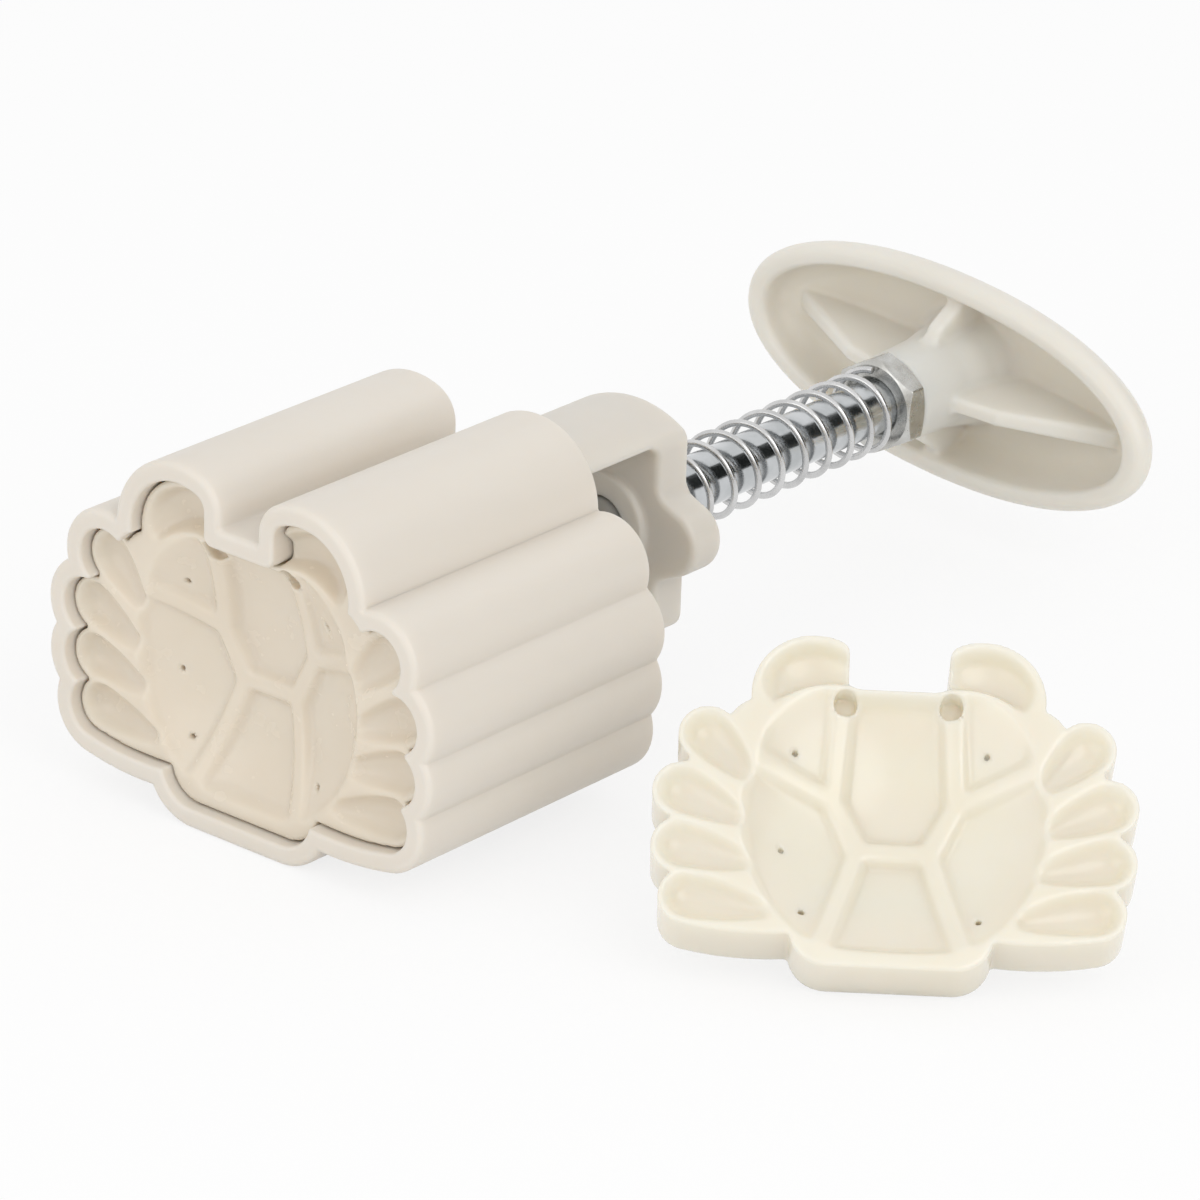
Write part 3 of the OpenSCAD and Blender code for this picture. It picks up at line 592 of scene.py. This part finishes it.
def make_handle():
    step = 0.34
    low, high = (-37.6, -HUB_STAND - 0.7, -16.6), (37.6, HANDLE_DOME + 0.8, 16.6)
    u, d, v = grid(low, high, step)
    edge = polygon_field(oval(HANDLE_A, HANDLE_B), u, v)
    share = ((np.abs(u) / HANDLE_A) ** OVAL_POWER + (np.abs(v) / HANDLE_B) ** OVAL_POWER) ** (
        1 / OVAL_POWER)
    dome = share ** 2 + (np.maximum(d, 0) / HANDLE_DOME) ** 2 - 1
    slopes = np.gradient(dome, step)
    dome = dome / np.maximum(np.sqrt(sum(s * s for s in slopes)), 0.05)
    rim = round_max(edge, -d - RIM_R, RIM_R)
    body = np.where(d > 0, dome, rim)
    hollow = polygon_field(oval(HANDLE_A - HOLLOW_IN[0], HANDLE_B - HOLLOW_IN[1]), u, v)
    hollow = round_max(hollow + HOLLOW_SLOPE * (d + 1), dome + DOME_WALL, HOLLOW_CORNER_R)
    hollow = round_max(hollow, d - INNER_FLOOR, HOLLOW_CORNER_R)
    body = round_max(body, -hollow, LIP_R)
    around = np.hypot(u, v)
    hub_r = np.interp(d, HUB_PLACES, HUB_RADII).astype(np.float32)
    hub_ends = np.maximum(-HUB_STAND - d, d - INNER_FLOOR - 0.6)
    hub = round_max(around - hub_r, hub_ends, HUB_EDGE_R)
    body = round_min(body, hub, HUB_FILLET)
    half = RIB_HALF_T + RIB_DRAFT * (d + 8)
    for rib, along, across in ((LONG_RIB, u, v), (SHORT_RIB, v, u)):
        side = polygon_field(rib, np.abs(along), d)
        body = round_min(body, round_max(side, np.abs(across) - half, RIB_EDGE_R), RIB_FILLET)
    seat = np.maximum(around - SEAT_R, d + HUB_STAND - HANDLE_SEAT_DEPTH)
    body = np.maximum(body, -seat)
    verts, faces = net(body, low, step)
    cos, sin = math.cos(HANDLE_TURN), math.sin(HANDLE_TURN)
    placed = np.stack([
        verts[:, 0] * cos - verts[:, 2] * sin, verts[:, 1] + MOUTH_Y + RIM_LINE,
        AXIS_H + verts[:, 0] * sin + verts[:, 2] * cos], -1)
    return net_object("palm_handle", placed, faces)


# ---- crab stamp ----
STAMP_T, STAMP_BOSS_LEN, STAMP_BOSS_R = 10.0, 12.0, 8.0
ROD_V = AXIS_H - CRAB_H
BOWL_Z, BOWL_DEPTH, BOWL_MOUTH_R, RIB_H = -2.5, 6.6, 20.5, 1.4
EYE, EYE_R, EYE_EDGE_R = (6.75, 13.45), 1.5, 0.2
SIDE_MID, SIDE_R = (8.6, 6.4), 8.7
ELBOW, KNEE = (8.0, 1.3), (4.4, -5.6)
SIDE_END, BELLY_END = (18.6, 6.5), (9.4, -21.8)
HALF_RIB = 0.7
FACE_HALF = [
    (EYE[0] - 1.5, EYE[1] + 0.6), (EYE[0] - HALF_RIB, EYE[1] - 2),
    (ELBOW[0] - HALF_RIB - 0.6, ELBOW[1]), (KNEE[0] - HALF_RIB, KNEE[1] + 1.4)]
BELLY_HALF = [
    (KNEE[0] - HALF_RIB, KNEE[1] - HALF_RIB), (BELLY_END[0] - 1.4, BELLY_END[1] + 1.4)]
BOWL_HALF = [
    (EYE[0] + 1, 14.4), (SIDE_END[0] - 1.2, SIDE_END[1] + 1.5), (19.8, 4), (19.8, -4),
    (18.8, -10.2), (16.1, -15.6), (BELLY_END[0] + 2.4, -19.8), (BELLY_END[0] - 1, -20.9)]
CHEEK = [
    (ELBOW[0] + HALF_RIB, ELBOW[1] + 1.3), (SIDE_END[0], SIDE_END[1]), (SIDE_END[0], 16),
    (EYE[0] + 2 * HALF_RIB, 16), (EYE[0] + 2 * HALF_RIB, EYE[1] - 2)]
FLANK_FIELD = [
    (ELBOW[0] + HALF_RIB, ELBOW[1] - HALF_RIB), (SIDE_END[0] - 0.8, SIDE_END[1] - 2.4),
    (19.4, 0), (19.4, -4), (18.4, -10), (15.8, -15.2), (BELLY_END[0] + 2.2, -19.2),
    (BELLY_END[0] + 0.4, -19.6), (KNEE[0] + 1.4, KNEE[1] - HALF_RIB), (KNEE[0] + 1.4, KNEE[1])]
SCOOP_ROOTS = [(20.1, 3.9), (21.1, -2.6), (20.1, -8.9), (17.8, -15.5)]
SCOOP_R, SCOOP_TIP_R, SCOOP_TAIL, SCOOP_RAISED = 3.1, 0.6, 3.4, 0.7
CLAW_BALL, CLAW_BALL_R, CLAW_BALL_RAISED, CLAW_RIM = (11.15, 16.8), 8.4, 5.2, 1.0
VENTS = [(-12.9, 6.9), (11.5, 7.7), (-14.2, -6.3), (-11.4, -14.9), (11, -15.2)]
VENT_R = 0.4
POCKET_X, POCKET_TOP, POCKET_LOW, POCKET_DEPTH = 17.0, 8.6, -14.6, 4.6
POCKET_CORNER, POCKET_FLOOR_R, POCKET_EDGE_R, BOWL_WALL = 3.0, 0.8, 0.4, 1.8
STAMP_SEAT_DEPTH = 10
STAMP_INSET = 1.8


def both_halves(half):
    """A closed outline from its right half."""
    return half + [(-px, pz) for px, pz in reversed(half)]


def relief_depth(x, z):
    """Depth of the relief below the stamp's face, over a flat grid."""

    def ball(depth, mouth_r):
        ball_r = (mouth_r ** 2 + depth ** 2) / (2 * depth)
        inner = np.maximum(ball_r ** 2 - x ** 2 - (z - BOWL_Z) ** 2, 0)
        return np.maximum(np.sqrt(inner) - (ball_r - depth), 0)

    side = np.abs(x)
    bowl = polygon_field(both_halves(BOWL_HALF), x, z)
    fields = np.minimum(polygon_field(both_halves(FACE_HALF), x, z),
                        polygon_field(both_halves(BELLY_HALF), x, z))
    cheek_round = np.hypot(side - SIDE_MID[0], z - SIDE_MID[1]) - SIDE_R
    cheek = np.maximum(polygon_field(CHEEK, side, z), cheek_round)
    fields = np.minimum(np.minimum(fields, cheek), polygon_field(FLANK_FIELD, side, z))
    ribs = ball(BOWL_DEPTH - RIB_H, BOWL_MOUTH_R - 1) * smooth(-bowl / 0.6)
    floor = ball(BOWL_DEPTH, BOWL_MOUTH_R)
    depth = ribs + np.maximum(floor - ribs, 0) * smooth(-fields / 1.0 + 0.1)
    for (tx, tz), (rx, rz) in zip(LEGS, SCOOP_ROOTS):
        length = math.hypot(rx - tx, rz - tz)
        ux, uz = (rx - tx) / length, (rz - tz) / length
        along = (side - tx) * ux + (z - tz) * uz
        across = np.where(along < 0, np.hypot(side - tx, z - tz),
                          np.abs((side - tx) * uz - (z - tz) * ux))
        taper = np.clip(along / (length + SCOOP_TAIL), 0, 1)
        width = SCOOP_R - (SCOOP_R - SCOOP_TIP_R) * taper ** 1.6
        trough = np.sqrt(np.maximum(width ** 2 - across ** 2, 0)) - SCOOP_RAISED * (1 - taper)
        depth = np.maximum(depth, trough * smooth((length + SCOOP_TAIL - along) / 2.4))
    claw_ball = CLAW_BALL_R ** 2 - (side - CLAW_BALL[0]) ** 2 - (z - CLAW_BALL[1]) ** 2
    claw_ball = np.sqrt(np.maximum(claw_ball, 0)) - CLAW_BALL_RAISED
    crescent = np.maximum(np.hypot(side - CLAW[0], z - CLAW[1]) - (CLAW_R - CLAW_RIM),
                          SIDE_R + 0.5 - np.hypot(side - SIDE_MID[0], z - SIDE_MID[1]))
    depth = np.maximum(depth, claw_ball * smooth(-crescent / 0.7))
    # Two rounds of blurring soften the relief's edges.
    for _ in range(2):
        inner = depth[1:-1, :, 1:-1]
        blur = (4 * inner + 2 * (depth[:-2, :, 1:-1] + depth[2:, :, 1:-1] + depth[1:-1, :, :-2]
                + depth[1:-1, :, 2:]) + depth[:-2, :, :-2] + depth[2:, :, 2:]
                + depth[:-2, :, 2:] + depth[2:, :, :-2]) / 16
        depth[1:-1, :, 1:-1] = blur
    return depth


def stamp_net():
    """The stamp about the middle of the crab, with its face at height 0 and its boss behind."""
    step = 0.345
    low, high = (-31.4, -0.5, -23.3), (31.4, STAMP_T + STAMP_BOSS_LEN + 0.5, 22.8)
    x, h, z = grid(low, high, step)
    outline = polygon_field(crab_ring(0.0, 0.3), x, z)
    depth = relief_depth(x, z)
    gx, _, gz = np.gradient(depth[:, :1, :].repeat(2, 1), step)
    steep = 1 / np.sqrt(1 + gx[:, :1] ** 2 + gz[:, :1] ** 2)
    body = round_max(outline, h - STAMP_T, 0.5)
    body = round_max(body, (depth - h) * steep, 0.28)
    for eye_x in (-EYE[0], EYE[0]):
        eye = np.maximum(np.hypot(x - eye_x, z - EYE[1]) - EYE_R, h - BOWL_DEPTH / 2)
        body = round_max(body, -eye, EYE_EDGE_R)
    around = np.hypot(x, z - ROD_V)
    boss = round_max(around - STAMP_BOSS_R,
                     np.maximum(h - STAMP_T - STAMP_BOSS_LEN, STAMP_T - 2 - h), 0.6)
    body = round_min(body, boss, 0.9)
    c = POCKET_CORNER
    pocket = polygon_field([
        (-POCKET_X, POCKET_LOW + c), (-POCKET_X + c, POCKET_LOW), (POCKET_X - c, POCKET_LOW),
        (POCKET_X, POCKET_LOW + c), (POCKET_X, POCKET_TOP - c), (POCKET_X - c, POCKET_TOP),
        (-POCKET_X + c, POCKET_TOP), (-POCKET_X, POCKET_TOP - c)], x, z)
    bowl_r = (BOWL_MOUTH_R ** 2 + BOWL_DEPTH ** 2) / (2 * BOWL_DEPTH)
    dome = np.sqrt(x ** 2 + (z - BOWL_Z) ** 2 + (h - BOWL_DEPTH + bowl_r) ** 2) - bowl_r
    pocket = round_max(pocket, STAMP_T - POCKET_DEPTH - h, POCKET_FLOOR_R)
    pocket = round_max(pocket, BOWL_WALL - dome, 0.6)
    pocket = round_max(pocket, STAMP_BOSS_R - around, POCKET_FLOOR_R)
    body = round_max(body, -pocket, POCKET_EDGE_R)
    seat = np.maximum(around - SEAT_R, STAMP_T + STAMP_BOSS_LEN - STAMP_SEAT_DEPTH - h)
    body = np.maximum(body, -seat)
    for vx, vz in VENTS:
        body = np.maximum(body, VENT_R - np.hypot(x - vx, z - vz))
    return net(body, low, step)


# ---- loose stamp's place ----
# It leans back on the rim of its boss and stands on the back edge of its belly.
LOOSE = (83.0, 9.5)
LOOSE_TURN = math.radians(38)
BELLY_DROP = BELLY_R - BELLY[1]
LEAN = math.atan2(STAMP_BOSS_LEN, ROD_V - STAMP_BOSS_R + BELLY_DROP)
LOOSE_LIFT = STAMP_T * math.cos(LEAN) + BELLY_DROP * math.sin(LEAN)


def stand_beside(verts):
    """Points of a stamp, from about the middle of the crab to beside the press."""
    tilt = (Matrix.Rotation(LOOSE_TURN, 3, "Z") @ Matrix.Rotation(LEAN - math.pi / 2, 3, "X"))
    return verts @ np.array(tilt).T + np.array([LOOSE[0], LOOSE[1], LOOSE_LIFT])


# ---- spring, rod, nut and washer ----
SPRING_TURNS, WIRE_D, SPRING_OD = 11, 1.0, 12.4
WIDE_PITCH, REAR_PITCH, END_PITCH = 5.4, 3.6, 1.6
ROD_FRONT, ROD_BACK, ROD_CHAMFER = 14.3, 150.5, 0.7
AXIS_POINT_R = 0.001
WASHER_BORE_R, WASHER_R, WASHER_IN_EDGE, WASHER_OUT_EDGE = 4.3, 7.4, 0.12, 0.18


def spring_pitch(turn):
    """Rise of the wire at a turn: close at the front, wide after it, narrower to the rear."""
    rear = float(smooth((turn - SPRING_TURNS) / 4 + 1))
    wide = WIDE_PITCH + (REAR_PITCH - WIDE_PITCH) * rear
    return END_PITCH + (wide - END_PITCH) * float(smooth((turn - 0.5) / 1.2))


def make_spring():
    """The coil, closed at both ends, with the wire's tips rounded."""
    per_turn, sides = 56, 14
    count = SPRING_TURNS * per_turn
    pitches = [spring_pitch((i + 0.5) / per_turn) for i in range(count)]
    rises = np.concatenate([[0.0], np.cumsum(pitches)])
    steps = np.arange(count + 1)
    radius = (SPRING_OD - WIRE_D) / 2
    a = np.radians(90) - 2 * math.pi * (steps - count) / per_turn
    path = np.stack([radius * np.cos(a), WIRE_D + (SPRING_LEN - 2 * WIRE_D) * rises / rises[-1],
                     radius * np.sin(a)], -1)
    path[:, 1] -= WIRE_D / 2 * np.clip(1 - steps / (per_turn * 0.75), 0, 1)
    path[:, 1] += WIRE_D / 2 * np.clip(1 - (count - steps) / (per_turn * 0.5), 0, 1)
    ways = np.gradient(path, axis=0)
    ways /= np.linalg.norm(ways, axis=1)[:, None]
    out = path * [1, 0, 1]
    out -= (out * ways).sum(1)[:, None] * ways
    out /= np.linalg.norm(out, axis=1)[:, None]
    side = np.cross(ways, out)
    shift = np.array([0, MOUTH_Y + SPRING_FRONT, AXIS_H])
    b = np.linspace(0, 2 * math.pi, sides, endpoint=False)[:, None]
    rings = [path[i] + WIRE_D / 2 * (np.cos(b) * out[i] + np.sin(b) * side[i]) + shift
             for i in steps]
    tip, bulge = 0.35, 0.12

    def wire_end(ring, way):
        return ring * tip + ring.mean(0) * (1 - tip) + way * bulge

    rings = [wire_end(rings[0], -ways[0]), *rings, wire_end(rings[-1], ways[-1])]
    verts, faces = skin(rings, closed_ends=True)
    return new_object("coil_spring", verts, faces, sharp=60)


def make_rod():
    end_r = ROD_R - ROD_CHAMFER
    rings = lathe([
        (AXIS_POINT_R, ROD_FRONT), (end_r, ROD_FRONT), (ROD_R, ROD_FRONT + ROD_CHAMFER),
        (ROD_R, 60.0), (ROD_R, 105.0), (ROD_R, ROD_BACK - ROD_CHAMFER), (end_r, ROD_BACK),
        (AXIS_POINT_R, ROD_BACK)], 128)
    verts, faces = skin(rings)
    return new_object("rod", verts, faces, sharp=35)


def make_washer():
    front, rear = FRAME_BACK, SPRING_FRONT
    bore, full, a, b = WASHER_BORE_R, WASHER_R, WASHER_IN_EDGE, WASHER_OUT_EDGE
    rings = lathe([
        (bore, front + a), (bore + a, front), (full - b, front), (full, front + b),
        (full, rear - b), (full - b, rear), (bore + a, rear), (bore, rear - a),
        (bore, front + a)])
    verts, faces = skin(rings)
    return new_object("washer", verts, faces, sharp=35)


def make_nut():
    """Hexagon nut whose corners are turned off in a cone on both sides."""
    flats, thick, bore = 13.0, 4.0, ROD_R + 0.02
    corner_r, cone_r, lead, bevel = 0.35, 6.25, 0.5, 0.07
    reach = (flats / 2 - corner_r) / math.cos(math.radians(30))
    points = []
    for k in range(6):
        a = 90 + 60 * k
        centre = on_circle((0, 0), reach, a)
        arc = on_circle(centre, corner_r, np.linspace(a - 30, a + 30, 7))
        points.append(arc)
        b = a + 60
        after = on_circle(on_circle((0, 0), reach, b), corner_r, b - 30)
        span = np.linspace(0, 1, 14)[1:-1, None]
        points.append(arc[-1] * (1 - span) + after * span)
    hexagon = np.concatenate(points)
    far = np.hypot(hexagon[:, 0], hexagon[:, 1])
    way = hexagon / far[:, None]
    drop = np.maximum(0, far - cone_r) * math.tan(math.radians(30))

    def ring(radius, place):
        flat = way * np.asarray(radius)[..., None]
        return np.stack([flat[:, 0], np.broadcast_to(MOUTH_Y + NUT_FRONT + place, len(far)),
                         AXIS_H + flat[:, 1]], -1)

    full = np.ones(len(far))
    near = np.maximum(drop - 0.03, 0.02)
    rings = [
        ring(full * bore, full * lead), ring(full * (bore + lead), full * 0.0),
        ring(full * cone_r, full * 0.0), ring(far - bevel, near),
        ring(far, drop + 0.1), ring(far, thick - drop - 0.1),
        ring(far - bevel, thick - near), ring(full * cone_r, full * thick),
        ring(full * (bore + lead), full * thick), ring(full * bore, full * (thick - lead)),
        ring(full * bore, full * lead)]
    verts, faces = skin(rings)
    return new_object("hex_nut", verts, faces, sharp=22)


# ---- pieces ----
finish_piece(make_sleeve(), SLEEVE, "sleeve_plastic", "press", "mould_sleeve")
finish_piece(make_frame(), FRAME, "frame_plastic", "press", "guide_frame")
finish_piece(make_handle(), HANDLE, "handle_plastic", "plunger", "handle")
stamp_verts, stamp_faces = stamp_net()
at_press = stamp_verts + np.array([0, MOUTH_Y + STAMP_INSET, CRAB_H])
finish_piece(net_object("crab_stamp", at_press, stamp_faces), STAMP, "stamp_plastic",
             "plunger", "press_stamp")
finish_piece(net_object("spare_crab_stamp", stand_beside(stamp_verts), stamp_faces), SPARE_PAINTED_LIGHTER,
             "stamp_plastic", "spare_stamp", "loose_stamp")
finish_piece(make_rod(), ZINC, "zinc_steel", "plunger", "plunger_rod")
finish_piece(make_nut(), NUT_ZINC, "zinc_steel", "plunger", "spring_nut")
finish_piece(make_washer(), ZINC, "zinc_steel", "press", "spring_washer")
spring = make_spring()
finish_piece(spring, WIRE, "spring_steel", None, "return_spring")
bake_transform(spring)

for name, mat in (("frame_screws", ZINC), ("stamp_insert", BRASS), ("handle_insert", BRASS),
                  ("loose_stamp_insert", BRASS)):
    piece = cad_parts[name]
    piece.data.materials.clear()
    piece.data.materials.append(mat)


# ---- stage ----
# Lengths on the stage are metres.
FLOOR_WHITE, FLOOR_GLOW_SHARE = 0.92, 0.80
SKY_LIGHT, SKY_SEEN = 0.84, 1.0


def stage_plane(name, size, place, normal):
    """A plane of the stage, which isn't a piece of the object."""
    mesh = bpy.data.meshes.new(name)
    bm = bmesh.new()
    bmesh.ops.create_grid(bm, x_segments=1, y_segments=1, size=0.5)
    bm.to_mesh(mesh)
    bm.free()
    obj = bpy.data.objects.new(name, mesh)
    obj.scale = (size[0], size[1], 1)
    obj.location = place
    obj.rotation_euler = Vector(normal).to_track_quat("Z", "Y").to_euler()
    bpy.context.scene.collection.objects.link(obj)
    return obj


def seen_by_rays(tree):
    """1 for rays from the camera, a mirror or a clear piece, and 0 for all others."""
    path = node(tree, "ShaderNodeLightPath")
    first = node(tree, "ShaderNodeMath", {0: path.outputs["Is Camera Ray"],
                                          1: path.outputs["Is Glossy Ray"]}, operation="MAXIMUM")
    return node(tree, "ShaderNodeMath", {0: first.outputs[0],
                                         1: path.outputs["Is Transmission Ray"]},
                operation="MAXIMUM").outputs[0]


def floor_material():
    """White floor that shows shadows, mixed with a plain white that only seen rays get."""
    mat, tree, shader = material("studio_floor")
    shader.inputs["Base Color"].default_value = (*[FLOOR_WHITE] * 3, 1)
    shader.inputs["Roughness"].default_value = 0.9
    shader.inputs["Specular IOR Level"].default_value = 0.1
    glow = node(tree, "ShaderNodeEmission", {"Color": (1, 1, 1, 1), "Strength": 1.0})
    share = node(tree, "ShaderNodeMath", {0: seen_by_rays(tree), 1: FLOOR_GLOW_SHARE},
                 operation="MULTIPLY")
    blend = node(tree, "ShaderNodeMixShader")
    tree.links.new(share.outputs[0], blend.inputs[0])
    tree.links.new(shader.outputs[0], blend.inputs[1])
    tree.links.new(glow.outputs[0], blend.inputs[2])
    tree.links.new(blend.outputs[0], tree.nodes["Material Output"].inputs["Surface"])
    return mat


floor = stage_plane("floor", (14, 14), (0, 0, 0), (0, 0, 1))
floor.data.materials.append(floor_material())

# Only reflections see the card: it makes the dark patches on the rod and the nut.
card_mat, _, card_shader = material("dark_card")
card_shader.inputs["Base Color"].default_value = (0.012, 0.014, 0.013, 1)
card_shader.inputs["Roughness"].default_value = 1.0
card = stage_plane("dark_card", (2.2, 0.85), (0.75, 0.92, 0.52), (-0.65, -0.72, -0.30))
card.data.materials.append(card_mat)
card.visible_camera = False
card.visible_diffuse = False
card.visible_shadow = False
card.visible_transmission = False
card.visible_volume_scatter = False

world = bpy.data.worlds.new("studio")
bpy.context.scene.world = world
world.use_nodes = True
tree = world.node_tree
background = tree.nodes["Background"]
background.inputs["Color"].default_value = (1, 1, 1, 1)
tree.links.new(ramp(tree, seen_by_rays(tree), 0, 1, SKY_LIGHT, SKY_SEEN),
               background.inputs["Strength"])


def lamp(name, place, aim, size, power):
    """A round soft lamp that points at aim."""
    data = bpy.data.lights.new(name, "AREA")
    data.shape = "DISK"
    data.size = size
    data.energy = power
    obj = bpy.data.objects.new(name, data)
    obj.location = place
    obj.rotation_euler = (Vector(place) - Vector(aim)).to_track_quat("Z", "Y").to_euler()
    bpy.context.scene.collection.objects.link(obj)


MIDDLE = (0.03, 0.05, 0.02)
lamp("key", (0.95, -0.25, 0.75), MIDDLE, 0.9, 3.2)
lamp("fill", (-0.1, -1.15, 0.5), MIDDLE, 1.0, 2.1)

# ---- camera ----
camera_data = bpy.data.cameras.new("camera")
camera_data.sensor_width = 36.0
camera_data.lens = 200.378
camera_data.clip_start = 0.05
camera_data.clip_end = 30.0
camera = bpy.data.objects.new("camera", camera_data)
camera.location = (0.536380, -0.607613, 0.377979)


def turn_matrix(rotation_vector):
    """The turn about a vector by its length in radians."""
    v = Vector(rotation_vector)
    return Matrix.Rotation(v.length, 3, v.normalized())


LOOK = turn_matrix((0.378408, -0.681288, -0.173410))
TO_PHOTO = Matrix(((1, 0, 0), (0, 0, 1), (0, -1, 0)))
camera.rotation_euler = (LOOK @ TO_PHOTO).transposed().to_euler()
bpy.context.scene.collection.objects.link(camera)
bpy.context.scene.camera = camera
bpy.context.scene.view_settings.view_transform = "Standard"
